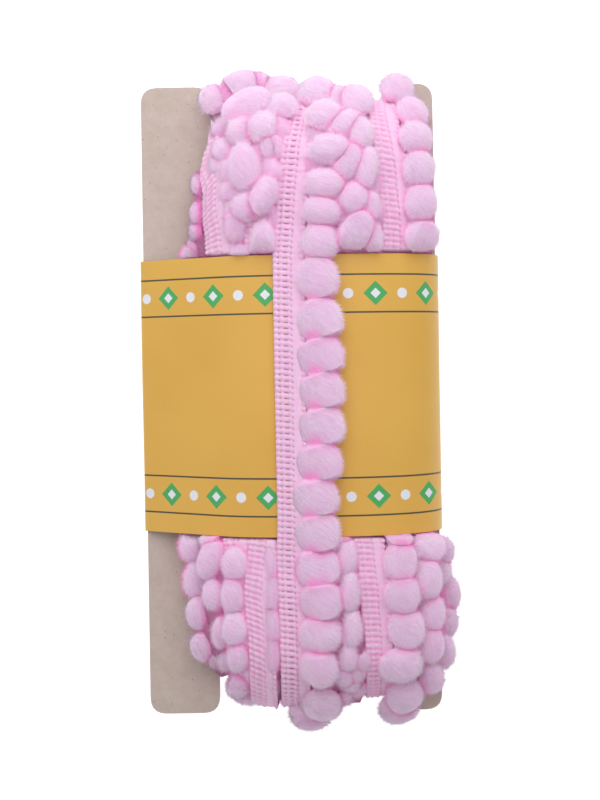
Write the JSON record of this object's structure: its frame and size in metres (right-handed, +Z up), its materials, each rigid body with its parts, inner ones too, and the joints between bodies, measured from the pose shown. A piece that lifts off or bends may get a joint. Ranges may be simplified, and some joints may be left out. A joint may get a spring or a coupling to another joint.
{
  "type": "pompom fringe trim",
  "caption": "Pompom fringe trim wound round a notched card and held by a paper band that passes under its last turn, lying on its back.",
  "frame": {"origin": "on the surface that it lies on, under the middle of the card, at the middle of the band's flat underside", "axes": "+X across the card to the right of its face, +Y along the card to its upper end, +Z up, out of the card's face"},
  "size_m": [0.0956, 0.1938, 0.0485],
  "materials": {
    "yarn": "matte",
    "band_paper": "satin",
    "card_board": "matte"
  },
  "bodies": {
    "root": {"winding": "yarn", "band": "band_paper", "card": "card_board"}
  },
  "joints": []
}
